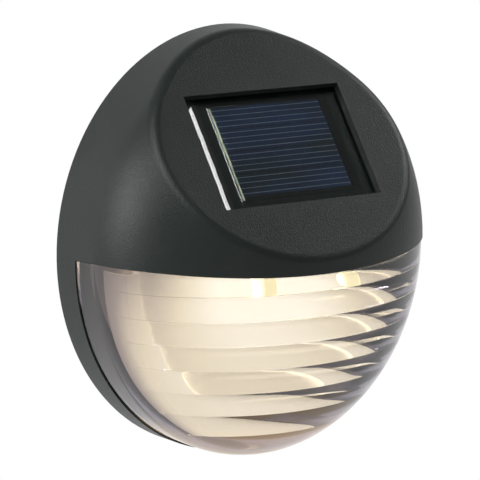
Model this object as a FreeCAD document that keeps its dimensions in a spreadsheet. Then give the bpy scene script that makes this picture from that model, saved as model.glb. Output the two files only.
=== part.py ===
import FreeCAD, Part
import math
import os

from FreeCAD import Placement, Rotation, Vector

# Solar fence light for a flat wall. Millimetres. X is to the right, +Z is up, and the wall is the
# plane y = 0. The light stands off the wall towards -Y, so a depth d is the place y = -d.

os.makedirs("parts", exist_ok=True)
doc = FreeCAD.newDocument("FenceLight")
sheet = doc.addObject("Spreadsheet::Sheet", "sizes")

drivingSizes = [
    ("rim_half_width", 55.0, "half width of the case at the wall"),
    ("height_ratio", 1.149, "height of the oval over its width"),
    ("side_draft", 3.0, "draft of the straight side wall, degrees"),
    ("crown_centre", 17.5, "depth of the centre of the domed front"),
    ("crown_depth", 39.5, "depth of the domed front ahead of its centre"),
    ("case_wall", 2.0, "moulded wall of the front housing"),
    ("running_gap", 0.3, "clearance between moulded pieces"),
    ("seat_gap", 0.1, "clearance between a piece and the face that carries it"),
    ("ring_depth", 10.0, "depth of the ring around the lower half"),
    ("hood_edge_height", 1.75, "top of the arch that the hood's lower edge follows on its sides"),
    ("hood_edge_depth", 32.0, "depth of the arch's top"),
    ("hood_edge_radius", 170.0, "radius of the arch"),
    ("facet_tilt", 39.7, "angle of the sloping facet's normal above level, degrees"),
    ("facet_cut", 16.8, "how far the facet lies below the crown that it cuts off"),
    ("facet_blend", 4.0, "radius between the facet and the dome"),
    ("window_width", 52.1, "window in the facet"),
    ("window_height", 36.9, "window in the facet, up the slope"),
    ("window_rise", 3.8, "window centre up the slope from the foot of the facet's normal"),
    ("ledge_back", 3.8, "depth where the seal ledge inside the hood starts"),
    ("ledge_width", 1.8, "how far the seal ledge stands in from the wall"),
    ("ledge_thick", 1.5, "thickness of the seal ledge"),
    ("boss_radius", 3.4, "screw bosses"),
    ("boss_back", 2.6, "depth of the ends of the screw bosses"),
    ("upper_boss_x", 36.0, "upper pair of bosses"),
    ("upper_boss_z", 38.0, "upper pair of bosses"),
    ("side_boss_x", 44.0, "side pair of bosses"),
    ("side_boss_z", 13.0, "side pair of bosses"),
    ("lens_inset", 0.4, "lens surface below the surface of the hood"),
    ("lens_wall", 2.2, "lens at its thinnest"),
    ("lens_step", 2.2, "how much thicker each band of the lens is at its foot"),
    ("flange_back", 3.9, "depth where the lens flange starts"),
    ("flange_top", 6.0, "height of the lens flange inside the hood"),
    ("edge_gap", 0.2, "gap between the hood's edge and the lens"),
    ("first_step", 6.7, "first step of the lens below the middle"),
    ("step_pitch", 7.4, "from one step of the lens to the next"),
    ("lens_floor_gap", 1.4, "floor of the lens cavity above the lowest point of its oval"),
    ("reflector_gap", 6.4, "reflector's rim inside the lens"),
    ("reflector_ratio", 1.05, "height of the reflector over its width"),
    ("reflector_back", 5.6, "depth where the reflector's rim starts"),
    ("reflector_side", 19.4, "depth of the reflector's side"),
    ("reflector_taper", 0.8, "how much that side draws in over its depth"),
    ("reflector_corner", 2.5, "radius between the reflector's side and front"),
    ("reflector_crown", 1.0, "rise of the reflector's front in its middle"),
    ("reflector_wall", 1.6, "wall of the reflector"),
    ("reflector_top", 5.9, "height of the reflector's open top"),
    ("reflector_boss_x", 20.0, "screw bosses in the reflector"),
    ("reflector_boss_drop", 30.0, "screw bosses in the reflector, below the middle"),
    ("tray_bottom", 6.2, "height of the lamp tray"),
    ("tray_thick", 1.6, "plate of the lamp tray"),
    ("tray_back", 5.6, "depth where the lamp tray starts"),
    ("led_half_spacing", 13.6, "lamps from the middle"),
    ("led_setback", 11.5, "lamps behind the front of the dome"),
    ("led_radius", 2.5, "lamp body"),
    ("led_length", 8.6, "lamp body with its round end"),
    ("led_flange", 0.4, "flange of the lamp beyond its body, all round"),
    ("led_flange_thick", 1.0, "flange of the lamp"),
    ("led_lead", 0.3, "radius of a lamp's lead"),
    ("led_lead_spacing", 2.54, "leads of a lamp"),
    ("collar_gap", 0.3, "room between a lamp and its collar"),
    ("collar_wall", 0.8, "collars around the lamps"),
    ("collar_bottom", 6.5, "lower end of the collars below the middle"),
    ("board_half_width", 24.0, "circuit board"),
    ("board_length", 30.3, "circuit board"),
    ("board_margin", 2.5, "circuit board ahead of the lamps"),
    ("board_thick", 1.6, "circuit board"),
    ("board_lift", 1.5, "circuit board above the tray"),
    ("peg_x", 20.0, "pegs that carry the circuit board"),
    ("peg_margin", 5.0, "pegs ahead of the circuit board's back edge"),
    ("peg_radius", 2.5, "pegs that carry the circuit board"),
    ("board_screw_head", 1.9, "radius of the board screws' heads"),
    ("board_screw_head_thick", 1.2, "board screws"),
    ("board_screw_shank", 0.85, "radius of the board screws' shanks"),
    ("component_row", 10.0, "row of components ahead of the board's back edge"),
    ("component_spacing", 10.0, "components from the middle"),
    ("chip_width", 5.0, "chip body"),
    ("chip_length", 4.0, "chip body"),
    ("chip_height", 1.6, "chip body"),
    ("chip_pitch", 1.27, "legs of the chip"),
    ("chip_leg_width", 0.4, "legs of the chip"),
    ("chip_leg_reach", 1.0, "legs of the chip beyond its body"),
    ("chip_leg_thick", 0.25, "legs of the chip"),
    ("inductor_radius", 3.2, "flanges of the inductor"),
    ("inductor_winding", 2.8, "radius of the inductor's winding"),
    ("inductor_height", 5.0, "inductor"),
    ("inductor_flange", 0.8, "flanges of the inductor"),
    ("capacitor_radius", 2.5, "capacitor"),
    ("capacitor_height", 6.0, "capacitor"),
    ("panel_margin", 2.4, "solar panel beyond the window on each side"),
    ("seal_thick", 0.75, "adhesive frame of the solar panel"),
    ("resin_thick", 1.4, "clear cover of the solar panel"),
    ("panel_board_thick", 1.2, "board of the solar panel"),
    ("cell_length", 37.4, "one solar strip"),
    ("cell_height", 6.9, "one solar strip"),
    ("cell_gap", 0.4, "between two solar strips"),
    ("cell_thick", 0.25, "one solar strip"),
    ("cell_count", 4, "solar strips"),
    ("cell_shift", 1.3, "solar strips to the right of the window's middle"),
    ("cell_rise", 1.3, "solar strips above the window's middle"),
    ("bus_inset", 0.1, "bus bar from the strips' left ends"),
    ("bus_width", 1.0, "bus bar across the strips"),
    ("bus_tail", 1.2, "bus bar beyond the lowest strip"),
    ("bus_thick", 0.1, "bus bar across the strips"),
    ("back_plate_thick", 2.4, "back plate"),
    ("keyhole_z", 44.0, "centre of the keyhole's round entry"),
    ("keyhole_entry", 4.5, "radius of the keyhole's round entry"),
    ("keyhole_slot", 2.3, "half width of the keyhole's slot"),
    ("keyhole_rise", 8.5, "from the entry's centre to the slot's end centre"),
    ("bay_middle", 24.3, "height of the battery's axis"),
    ("bay_room", 1.5, "battery bay beyond the battery, above and below"),
    ("bay_floor_gap", 0.4, "battery bay beyond the battery, in depth"),
    ("bay_wall", 1.4, "battery bay"),
    ("cover_thick", 1.6, "battery cover, and radius of its hinge edge"),
    ("cover_rib", 0.8, "height of the battery cover's ribs"),
    ("cover_rib_x", 20.0, "battery cover's ribs from the middle"),
    ("cover_rib_thick", 1.2, "battery cover's ribs"),
    ("pin_radius", 0.8, "hinge pins of the battery cover"),
    ("pin_length", 1.1, "hinge pins of the battery cover"),
    ("pin_gap", 0.08, "clearance of the hinge pins"),
    ("nail_width", 14.0, "nail recess below the battery cover"),
    ("nail_height", 3.0, "nail recess below the battery cover"),
    ("nail_depth", 1.2, "nail recess below the battery cover"),
    ("cell_radius", 5.25, "round battery cell"),
    ("cell_body", 43.5, "round battery cell without its nub"),
    ("nub_radius", 1.9, "nub of the battery cell"),
    ("nub_length", 1.0, "nub of the battery cell"),
    ("contact_thick", 0.4, "battery contacts"),
    ("contact_dimple", 1.0, "dimple that meets the battery's nub"),
    ("contact_width", 8.0, "battery contacts"),
    ("spring_wire", 0.35, "radius of the spring's wire"),
    ("spring_wide", 4.0, "coil radius at the contact"),
    ("spring_narrow", 2.6, "coil radius at the battery"),
    ("spring_turns", 3.25, "turns of the spring"),
    ("spring_length", 4.4, "spring as fitted"),
    ("screw_head", 2.7, "radius of the case screws' heads"),
    ("screw_head_thick", 1.3, "case screws"),
    ("screw_shank", 1.2, "radius of the case screws' shanks"),
    ("screw_length", 10.0, "case screws below the head"),
    ("switch_drop", 14.0, "switch below the middle"),
    ("switch_length", 12.0, "switch body"),
    ("switch_height", 6.0, "switch body"),
    ("switch_depth", 5.5, "switch body"),
    ("switch_pin", 0.4, "radius of the switch's pins"),
    ("switch_pin_length", 2.5, "switch's pins"),
    ("switch_pin_pitch", 2.5, "switch's pins"),
    ("switch_travel", 2.0, "travel of the slider"),
    ("knob_length", 3.6, "slider's knob"),
    ("knob_height", 3.0, "slider's knob"),
    ("recess_length", 16.0, "recess around the slider"),
    ("recess_height", 9.0, "recess around the slider"),
    ("recess_depth", 1.3, "recess around the slider"),
    ("wire_radius", 0.6, "insulated wires"),
    ("wire_bend", 2.0, "bend radius of the wires"),
    ("wire_spacing", 2.5, "wires of a pair"),
]

for row, (alias, number, meaning) in enumerate(drivingSizes, start=1):
    sheet.set(f"A{row}", alias)
    sheet.set(f"B{row}", str(number))
    sheet.set(f"C{row}", meaning)
    sheet.setAlias(f"B{row}", alias)
doc.recompute()


class Size:
    """A length that keeps both its number and the sheet expression that gives it."""

    def __init__(self, value, text):
        self.value = float(value)
        self.text = text

    def joined(self, other, sign, value):
        return Size(value, f"({self.text} {sign} {other.text})")

    def __add__(self, other):
        other = asSize(other)
        return self.joined(other, "+", self.value + other.value)

    def __sub__(self, other):
        other = asSize(other)
        return self.joined(other, "-", self.value - other.value)

    def __mul__(self, other):
        other = asSize(other)
        return self.joined(other, "*", self.value * other.value)

    def __truediv__(self, other):
        other = asSize(other)
        return self.joined(other, "/", self.value / other.value)

    def __radd__(self, other):
        return asSize(other) + self

    def __rsub__(self, other):
        return asSize(other) - self

    def __rmul__(self, other):
        return asSize(other) * self

    def __neg__(self):
        return asSize(0) - self

    def __float__(self):
        return self.value


def asSize(number):
    return number if isinstance(number, Size) else Size(number, repr(float(number)))


class Sheet:
    """Reads one driving size by its alias."""

    def __getattr__(self, alias):
        return Size(sheet.get(alias), f"sizes.{alias}")


s = Sheet()
subParts = []
reach = 2.5 * (s.rim_half_width + s.crown_centre + s.crown_depth)    # longer than anything here
far = float(reach)


def bind(thing, **sizes):
    for name, size in sizes.items():
        setattr(thing, name, float(size))
        if isinstance(size, Size):
            thing.setExpression(name, size.text)
    return thing


def moveTo(thing, x=0, y=0, z=0, turn=None):
    """Puts a primitive in place, each coordinate tied to the sheet."""
    place = Vector(float(x), float(y), float(z))
    thing.Placement = Placement(place, turn or Rotation())
    for axis, size in zip("xyz", (x, y, z)):
        if isinstance(size, Size):
            thing.setExpression(f"Placement.Base.{axis}", size.text)
    return thing


alongX = Rotation(Vector(0, 1, 0), 90)
towardsWall = Rotation(Vector(1, 0, 0), -90)
awayFromWall = Rotation(Vector(1, 0, 0), 90)


def box(name, x, y, z):
    """A block between two corners; x, y and z are (low, high) pairs."""
    block = doc.addObject("Part::Box", name)
    bind(block, Length=x[1] - x[0], Width=y[1] - y[0], Height=z[1] - z[0])
    return moveTo(block, x[0], y[0], z[0])


def rod(name, radius, length, x=0, y=0, z=0, turn=None):
    """A round bar from a point, up +Z unless it is turned."""
    bar = doc.addObject("Part::Cylinder", name)
    bind(bar, Radius=radius, Height=length)
    return moveTo(bar, x, y, z, turn)


def cone(name, radius1, radius2, length, x=0, y=0, z=0, turn=None):
    bar = doc.addObject("Part::Cone", name)
    bind(bar, Radius1=radius1, Radius2=radius2, Height=length)
    return moveTo(bar, x, y, z, turn)


def feature(name, shape):
    thing = doc.addObject("Part::Feature", name)
    thing.Shape = shape
    return thing


def fuse(name, *pieces):
    joined = doc.addObject("Part::MultiFuse", name)
    joined.Shapes = list(pieces)
    return joined


def common(name, *pieces):
    shared = doc.addObject("Part::MultiCommon", name)
    shared.Shapes = list(pieces)
    return shared


def cut(name, base, *tools):
    rest = doc.addObject("Part::Cut", name)
    rest.Base = base
    rest.Tool = tools[0] if len(tools) == 1 else fuse(f"{name}_tools", *tools)
    return rest


def group(name, *pieces):
    bundle = doc.addObject("Part::Compound", name)
    bundle.Links = list(pieces)
    return bundle


def subPart(label, thing):
    """Names a finished piece, which is written to a file of that name."""
    thing.Label = label
    subParts.append(thing)
    return thing


# The oval form that the housing, the lens and the inner pieces share: a straight side wall with a
# little draft that runs into half an ellipsoid, turned round the Y axis and then made taller.

def root(size):
    return Size(math.sqrt(float(size)), f"sqrt({size.text})")


def cosine(angle):
    return Size(math.cos(math.radians(float(angle))), f"cos({angle.text})")


def sine(angle):
    return Size(math.sin(math.radians(float(angle))), f"sin({angle.text})")


def ovalSolid(outline, ratio):
    """Turns an outline round the Y axis, makes it taller than wide, and trims it flat at the wall."""
    turned = Part.Face(outline).revolve(Vector(), Vector(0, 1, 0), 360)
    taller = FreeCAD.Matrix()
    taller.scale(1, 1, float(ratio))
    front = Part.makeBox(2 * far, far, 2 * far, Vector(-far, -far, -far))
    return turned.transformGeometry(taller).common(front)


draftSlope = sine(s.side_draft) / cosine(s.side_draft)


def crownDepth(inset):
    return s.crown_depth - inset


def crownWidth(inset):
    """Half width of the dome's ellipse, which the drafted side wall meets without a kink."""
    reachAtCentre = s.rim_half_width - inset - s.crown_centre * draftSlope
    rise = crownDepth(inset) * draftSlope
    return root(reachAtCentre * reachAtCentre - rise * rise)


def caseOval(name, inset):
    """The case's outer form moved in by an inset."""
    width, depth, slope = float(crownWidth(inset)), float(crownDepth(inset)), float(draftSlope)
    centre = float(s.crown_centre)
    start = math.atan(slope * depth / width)
    meeting = Vector(width * math.cos(start), -centre - depth * math.sin(start), 0)
    behind = 2.0
    corner = Vector(float(s.rim_half_width) - float(inset) + behind * slope, behind, 0)
    crown = Part.ArcOfEllipse(Part.Ellipse(Vector(0, -centre, 0), width, depth), -math.pi / 2, -start)
    outline = Part.Wire([
        Part.makeLine(Vector(0, behind, 0), corner),
        Part.makeLine(corner, meeting),
        crown.toShape(),
        Part.makeLine(Vector(0, -centre - depth, 0), Vector(0, behind, 0)),
    ])
    return feature(name, ovalSolid(outline, s.height_ratio))


# The facet lies below the point of the dome that its plane would touch.

crownAlong = crownDepth(0) * cosine(s.facet_tilt)
crownUp = crownWidth(0) * s.height_ratio * sine(s.facet_tilt)
crownTouch = s.crown_centre * cosine(s.facet_tilt) + root(crownAlong * crownAlong + crownUp * crownUp)
facetOffset = crownTouch - s.facet_cut


def onFacet(thing, rise=0, out=0):
    """Carries a piece built flat to the facet: X across, Y up the slope, Z out of it."""
    tilt = s.facet_tilt
    offset = facetOffset + out
    turn = Rotation(Vector(1, 0, 0), 90 - float(tilt))
    moveTo(thing, 0, sine(tilt) * rise - cosine(tilt) * offset, cosine(tilt) * rise + sine(tilt) * offset, turn)
    thing.setExpression("Placement.Rotation.Angle", (90 - tilt).text)
    return thing


def aheadOfFacet(name, inset):
    """All that lies in front of the facet's plane, moved in by an inset."""
    block = box(f"{name}_block", (-reach, reach), (-reach, reach), (0, reach))
    return onFacet(group(name, block), out=-inset)


def slab(name, fromDepth, toDepth):
    return box(name, (-reach, reach), (-toDepth, -fromDepth), (-reach, reach))


def below(name, height):
    return box(name, (-reach, reach), (-reach, reach), (-reach, height))


def above(name, height):
    return box(name, (-reach, reach), (-reach, reach), (height, reach))


def underHoodEdge(name, gap, fromDepth):
    """The lower front, which the lens fills: under the hood's arched edge and ahead of the ring."""
    under = rod(f"{name}_under", s.hood_edge_radius - gap, 2 * reach, -reach, -s.hood_edge_depth,
                s.hood_edge_height - s.hood_edge_radius, alongX)
    return common(name, under, slab(f"{name}_ahead", fromDepth, reach))


caseScrewPlaces = [
    (s.upper_boss_x, s.upper_boss_z), (-s.upper_boss_x, s.upper_boss_z),
    (s.side_boss_x, s.side_boss_z), (-s.side_boss_x, s.side_boss_z),
]
reflectorScrewPlaces = [
    (s.reflector_boss_x, -s.reflector_boss_drop), (-s.reflector_boss_x, -s.reflector_boss_drop),
]
pilotRadius = s.screw_shank + s.seat_gap / 2
pilotDepth = s.screw_length + s.running_gap


def bosses(name, places, within):
    """Screw bosses that grow from the front wall back to the back plate, each with its pilot hole."""
    bars = [rod(f"{name}_bar{i}", s.boss_radius, reach, x, -s.boss_back, z, awayFromWall)
            for i, (x, z) in enumerate(places)]
    return common(f"{name}_bars", fuse(f"{name}_all", *bars), within)


def pilots(name, places):
    return [rod(f"{name}_pilot{i}", pilotRadius, pilotDepth, x, -s.boss_back, z, awayFromWall)
            for i, (x, z) in enumerate(places)]


switchPinEnd = s.back_plate_thick + s.seat_gap + s.switch_depth + s.switch_pin_length
switchWireDepth = switchPinEnd + 1.5 * s.wire_bend
switchWireX = (-s.switch_pin_pitch, 0 * s.switch_pin_pitch)


def frontHousing():
    outer = cut("hood_outer", caseOval("hood_form", 0), aheadOfFacet("hood_facet", 0))
    doc.recompute()
    rounded = outer.Shape.makeFillet(float(s.facet_blend), facetEdges(outer.Shape))
    outer = feature("hood_blended", rounded)
    hollow = cut("hood_hollow", caseOval("hood_inside", s.case_wall),
                 aheadOfFacet("hood_facet_inside", s.case_wall))
    shell = cut("hood_shell", outer, hollow, underHoodEdge("lens_opening", 0, s.ring_depth))
    middle = cut("wall_middle", caseOval("wall_middle_form", s.case_wall / 2),
                 aheadOfFacet("wall_middle_facet", s.case_wall / 2))
    posts = bosses("hood_boss", caseScrewPlaces, middle)
    band = cut("ledge_band", caseOval("ledge_out", s.case_wall / 2),
               caseOval("ledge_in", s.case_wall + s.ledge_width))
    ledge = common("seal_ledge", band, slab("ledge_slab", s.ledge_back, s.ledge_back + s.ledge_thick),
                   above("ledge_upper", s.tray_bottom + s.tray_thick + s.running_gap))
    block = box("window_block", (-s.window_width / 2, s.window_width / 2),
                (-s.window_height / 2, s.window_height / 2), (-2 * s.case_wall, s.case_wall))
    window = onFacet(group("window", block), s.window_rise)
    whole = fuse("hood_whole", shell, posts, ledge)
    return subPart("front_housing", cut("front_housing", whole, window, *pilots("hood", caseScrewPlaces)))


def facetEdges(shape):
    """The edges where the facet meets the dome."""
    normal = Rotation(Vector(1, 0, 0), 90 - float(s.facet_tilt)).multVec(Vector(0, 0, 1))
    offset = float(facetOffset)
    found = []
    for edge in shape.Edges:
        first, last = edge.ParameterRange
        samples = [edge.valueAt(first + (last - first) * share) for share in (0, 0.3, 0.7, 1)]
        if all(abs(point.dot(normal) - offset) < 0.001 for point in samples):
            found.append(edge)
    return found


# Behind the dome the lens cavity is smooth. Inside the dome the lens is made of level bands. Each
# band is thin at its top, thickens as it goes down, and ends in a ledge above the next one.

thinInset = s.lens_inset + s.lens_wall
thickInset = thinInset + s.lens_step


def bandPlan(inset, height):
    """The cavity's outline at a height: half an oval in front, straight sides and back behind it."""
    width, depth, centre = float(crownWidth(inset)), float(crownDepth(inset)), float(s.crown_centre)
    share = math.sqrt(1 - (height / (width * float(s.height_ratio))) ** 2)
    halfWidth, halfDepth = width * share, depth * share
    crown = Part.Ellipse(Vector(0, -centre, height), halfWidth, halfDepth)
    left, right = Vector(-halfWidth, -centre, height), Vector(halfWidth, -centre, height)
    backLeft, backRight = Vector(-halfWidth, 0, height), Vector(halfWidth, 0, height)
    return Part.Wire([Part.ArcOfEllipse(crown, math.pi, 2 * math.pi).toShape(), Part.makeLine(right, backRight),
                      Part.makeLine(backRight, backLeft), Part.makeLine(backLeft, left)])


def lensCavity(name):
    top = float(s.flange_top) + 1
    floor = float(crownWidth(thickInset) * s.height_ratio - s.lens_floor_gap)
    first, pitch = float(s.first_step), float(s.step_pitch)
    count = int((floor - first) / pitch) + 1
    levels = [-first - i * pitch for i in range(count)] + [-floor]
    bands = [Part.Face(bandPlan(thinInset, 0)).extrude(Vector(0, 0, top))]
    start = 0
    for level in levels:
        bands.append(Part.makeLoft([bandPlan(thinInset, start), bandPlan(thickInset, level)], True, True))
        start = level
    stack = feature(f"{name}_bands", bands[0].fuse(bands[1:]))
    smooth = common(f"{name}_smooth", caseOval(f"{name}_form", thinInset), slab(f"{name}_slab", -1, s.crown_centre))
    return fuse(name, stack, smooth)


def lens():
    skin = common("lens_skin", caseOval("lens_form", s.lens_inset),
                  underHoodEdge("lens_region", s.edge_gap, s.ring_depth + s.edge_gap))
    flangeInset = s.case_wall + s.running_gap
    tucked = common("lens_tucked", caseOval("flange_form", flangeInset),
                    slab("flange_slab", s.flange_back, reach), below("flange_lower", s.flange_top))
    flange = cut("lens_flange", tucked, aheadOfFacet("flange_facet", flangeInset))
    return subPart("lens", cut("lens", fuse("lens_solid", skin, flange), lensCavity("lens_cavity")))


def reflector():
    rim = s.rim_half_width - s.lens_inset - s.lens_wall - s.reflector_gap
    side, corner = float(s.reflector_side), float(s.reflector_corner)
    turn = float(s.reflector_back) + side

    def form(name, inset, back=float(s.reflector_back)):
        start = float(rim) - float(inset)
        end = start - float(s.reflector_taper)
        radius = corner - float(inset)
        front = turn + radius
        top = front + float(s.reflector_crown)
        bend = Part.ArcOfCircle(Part.Circle(Vector(end - radius, -turn, 0), Vector(0, 0, 1), radius), -math.pi / 2, 0)
        middle = Vector((end - radius) / 2, -front - 0.75 * float(s.reflector_crown), 0)
        crown = Part.Arc(Vector(end - radius, -front, 0), middle, Vector(0, -top, 0))
        outline = Part.Wire([
            Part.makeLine(Vector(0, -back, 0), Vector(start, -back, 0)),
            Part.makeLine(Vector(start, -back, 0), Vector(end, -turn, 0)),
            bend.toShape(), crown.toShape(),
            Part.makeLine(Vector(0, -top, 0), Vector(0, -back, 0)),
        ])
        return feature(name, ovalSolid(outline, s.reflector_ratio))

    wall = s.reflector_wall
    shell = cut("reflector_shell", form("reflector_form", 0), form("reflector_inside", wall))
    posts = bosses("reflector_boss", reflectorScrewPlaces, form("reflector_middle", wall / 2, 0))
    body = common("reflector_body", fuse("reflector_whole", shell, posts),
                  below("reflector_lower", s.reflector_top))
    return subPart("reflector", cut("reflector", body, *pilots("reflector", reflectorScrewPlaces)))


ledPlaces = [(-s.led_half_spacing, "led_left"), (s.led_half_spacing, "led_right")]
trayTop = s.tray_bottom + s.tray_thick
boardBottom = trayTop + s.board_lift
boardTop = boardBottom + s.board_thick
collarInside = s.led_radius + s.collar_gap
ledDepth = s.crown_centre + s.crown_depth - s.led_setback
boardFront = ledDepth + s.board_margin
boardBack = boardFront - s.board_length
pegDepth = boardBack + s.peg_margin
componentDepth = boardBack + s.component_row


def ledTray():
    inset = s.case_wall + s.running_gap
    plate = common("tray_plate", cut("tray_form_cut", caseOval("tray_form", inset),
                                     aheadOfFacet("tray_facet", inset)),
                   slab("tray_slab", s.tray_back, reach),
                   box("tray_level", (-reach, reach), (-reach, reach), (s.tray_bottom, trayTop)))
    solids, holes = [plate], []
    for i, (x, _) in enumerate(ledPlaces):
        solids.append(rod(f"collar{i}", collarInside + s.collar_wall, s.collar_bottom + trayTop,
                          x, -ledDepth, -s.collar_bottom))
        holes.append(rod(f"collar_bore{i}", collarInside, reach, x, -ledDepth, -s.collar_bottom - 1))
    for i, side in enumerate((-1, 1)):
        x = side * s.peg_x
        solids.append(rod(f"peg{i}", s.peg_radius, s.board_lift - s.seat_gap + s.tray_thick / 2,
                          x, -pegDepth, trayTop - s.tray_thick / 2))
        holes.append(rod(f"peg_hole{i}", s.board_screw_shank + s.seat_gap / 2, reach, x, -pegDepth, s.tray_bottom - 1))
    for i, x in enumerate(switchWireX):
        holes.append(rod(f"wire_hole{i}", s.wire_radius + s.running_gap, s.tray_thick + 2, x, -switchWireDepth, s.tray_bottom - 1))
    return subPart("led_tray", cut("led_tray", fuse("tray_whole", *solids), *holes))


def led(label, x):
    """A round lamp that points down, its flange on the tray and its two leads through the board."""
    flangeBottom = trayTop + s.seat_gap
    flangeTop = flangeBottom + s.led_flange_thick
    tipCentre = flangeTop - s.led_length + s.led_radius
    ball = doc.addObject("Part::Sphere", f"{label}_tip")
    bind(ball, Radius=s.led_radius)
    moveTo(ball, x, -ledDepth, tipCentre)
    body = rod(f"{label}_body", s.led_radius, flangeTop - tipCentre, x, -ledDepth, tipCentre)
    foot = rod(f"{label}_foot", s.led_radius + s.led_flange, s.led_flange_thick, x, -ledDepth, flangeBottom)
    leads = [rod(f"{label}_lead{i}", s.led_lead, boardTop + s.board_thick / 2 - flangeBottom,
                 x + side * s.led_lead_spacing / 2, -ledDepth, flangeBottom)
             for i, side in enumerate((-1, 1))]
    return subPart(label, fuse(label, ball, body, foot, *leads))


def circuitBoard():
    plate = box("board_plate", (-s.board_half_width, s.board_half_width),
                (-boardFront, -boardBack), (boardBottom, boardTop))
    holes = [rod(f"board_screw_hole{i}", s.board_screw_shank + s.running_gap, reach, side * s.peg_x, -pegDepth, boardBottom - 1)
             for i, side in enumerate((-1, 1))]
    for i, (x, _) in enumerate(ledPlaces):
        for j, side in enumerate((-1, 1)):
            holes.append(rod(f"board_lead_hole{i}{j}", s.led_lead + s.seat_gap, reach,
                             x + side * s.led_lead_spacing / 2, -ledDepth, boardBottom - 1))
    return subPart("circuit_board", cut("circuit_board", plate, *holes))


def boardComponents():
    top = boardTop + s.seat_gap / 2
    row = -componentDepth
    half = s.chip_length / 2
    chipBody = box("chip_body", (-s.chip_width / 2, s.chip_width / 2), (row - half, row + half),
                   (top, top + s.chip_height))
    legs = []
    for i in range(4):
        x = (i - 1.5) * s.chip_pitch
        across = (x - s.chip_leg_width / 2, x + s.chip_leg_width / 2)
        legs.append(box(f"chip_leg_front{i}", across, (row - half - s.chip_leg_reach, row - half / 2),
                        (top, top + s.chip_leg_thick)))
        legs.append(box(f"chip_leg_back{i}", across, (row + half / 2, row + half + s.chip_leg_reach),
                        (top, top + s.chip_leg_thick)))
    subPart("controller_chip", fuse("controller_chip", chipBody, *legs))

    x = s.component_spacing
    flanges = [rod(f"inductor_flange{i}", s.inductor_radius, s.inductor_flange, x, row,
                   top + i * (s.inductor_height - s.inductor_flange)) for i in range(2)]
    winding = rod("inductor_coil", s.inductor_winding, s.inductor_height - s.inductor_flange, x, row,
                  top + s.inductor_flange / 2)
    subPart("charge_inductor", fuse("charge_inductor", winding, *flanges))
    can = rod("capacitor_can", s.capacitor_radius, s.capacitor_height, -x, row, top)
    subPart("capacitor", group("capacitor", can))


def boardScrews():
    screws = []
    for i, side in enumerate((-1, 1)):
        x = side * s.peg_x
        head = rod(f"board_screw_head{i}", s.board_screw_head, s.board_screw_head_thick, x, -pegDepth,
                   boardTop + s.seat_gap / 2)
        shank = rod(f"board_screw_shank{i}", s.board_screw_shank, boardTop - s.tray_bottom + s.seat_gap,
                    x, -pegDepth, s.tray_bottom)
        screws.append(fuse(f"board_screw{i}", head, shank))
    return subPart("board_screws", group("board_screws", *screws))


# The solar panel is built flat, in the facet's own frame: X across, Y up the slope, Z out of it.

panelHalfWidth = s.window_width / 2 + s.panel_margin
panelHalfHeight = s.window_height / 2 + s.panel_margin
sealTop = -s.case_wall - s.seat_gap / 2
resinTop = sealTop - s.seal_thick - s.seat_gap / 2
resinBottom = resinTop - s.resin_thick
boardFace = resinBottom - s.seat_gap / 2
cellPitch = s.cell_height + s.cell_gap
fieldHalfHeight = (s.cell_count - 1) * cellPitch / 2 + s.cell_height / 2
fieldLeft, fieldRight = s.cell_shift - s.cell_length / 2, s.cell_shift + s.cell_length / 2
fieldBottom, fieldTop = s.cell_rise - fieldHalfHeight, s.cell_rise + fieldHalfHeight


def panelBlock(name, halfWidth, halfHeight, low, high):
    return box(name, (-halfWidth, halfWidth), (-halfHeight, halfHeight), (low, high))


def solarPanel():
    frame = panelBlock("seal_frame", panelHalfWidth, panelHalfHeight, sealTop - s.seal_thick, sealTop)
    hole = panelBlock("seal_hole", s.window_width / 2 + s.running_gap, s.window_height / 2 + s.running_gap,
                      sealTop - 2 * s.seal_thick, sealTop + s.seal_thick)
    subPart("panel_seal", onFacet(cut("panel_seal", frame, hole), s.window_rise))

    resin = panelBlock("resin_block", panelHalfWidth, panelHalfHeight, resinBottom, resinTop)
    room = s.cell_thick + s.bus_thick + s.seat_gap
    pocket = box("resin_pocket", (fieldLeft - s.running_gap, fieldRight + s.running_gap),
                 (fieldBottom - s.bus_tail - s.running_gap, fieldTop + s.running_gap),
                 (resinBottom - 1, resinBottom + room))
    subPart("panel_resin", onFacet(cut("panel_resin", resin, pocket), s.window_rise))

    board = panelBlock("panel_plate", panelHalfWidth, panelHalfHeight, boardFace - s.panel_board_thick, boardFace)
    subPart("panel_board", onFacet(group("panel_board", board), s.window_rise))

    strips = []
    for i in range(int(s.cell_count.value)):
        low = fieldBottom + i * cellPitch
        strips.append(box(f"strip{i}", (fieldLeft, fieldRight), (low, low + s.cell_height),
                          (boardFace, boardFace + s.cell_thick)))
    subPart("solar_cells", onFacet(group("solar_cells", *strips), s.window_rise))

    left = fieldLeft + s.bus_inset
    bar = box("bus_strip", (left, left + s.bus_width), (fieldBottom - s.bus_tail, fieldTop),
              (boardFace + s.cell_thick, boardFace + s.cell_thick + s.bus_thick))
    subPart("cell_bus_bar", onFacet(group("cell_bus_bar", bar), s.window_rise))


# The back: plate, gasket, battery bay with its cover and cell, and the switch.

bayHalfWidth = (s.cell_body + s.nub_length + s.contact_dimple + s.spring_length
                + 2 * s.contact_thick + 3 * s.seat_gap) / 2
bayBottom = s.bay_middle - s.cell_radius - s.bay_room
bayTop = s.bay_middle + s.cell_radius + s.bay_room
batteryDepth = s.cover_thick + s.cover_rib + s.running_gap + s.cell_radius
bayDepth = batteryDepth + s.cell_radius + s.bay_floor_gap
hingeDepth = s.cover_thick
hingeHeight = bayTop - s.running_gap - s.cover_thick
plateInset = s.case_wall + s.running_gap


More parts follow.
